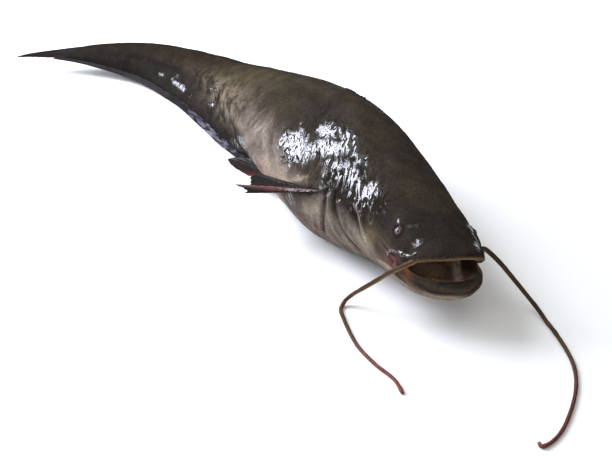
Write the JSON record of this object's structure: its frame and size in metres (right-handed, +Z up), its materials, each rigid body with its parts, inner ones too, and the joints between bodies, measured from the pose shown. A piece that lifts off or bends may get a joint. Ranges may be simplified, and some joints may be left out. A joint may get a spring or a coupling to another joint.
{
  "type": "whole raw catfish",
  "caption": "Whole raw catfish lying on its belly, rolled a little on to one flank, mouth open, long whiskers trailing on the surface and tail curving to the side.",
  "frame": {"origin": "a point on the flat patch of belly that the fish rests on, below its trunk, at the level of the surface", "axes": "+X along the line from tail tip to head, towards the head, +Y towards the fish's back and left flank, +Z up"},
  "size_m": [1.0903, 0.3321, 0.1582],
  "materials": {
    "skin": "wet, slimy, scaleless dark olive-brown skin, paler and mottled on the belly and throat, glossy under a clear water film",
    "eye": "wet, glossy pinkish-grey iris with a small dark pupil"
  },
  "bodies": {
    "root": {"fish": "skin", "eye_right": "eye", "eye_left": "eye"}
  },
  "joints": []
}
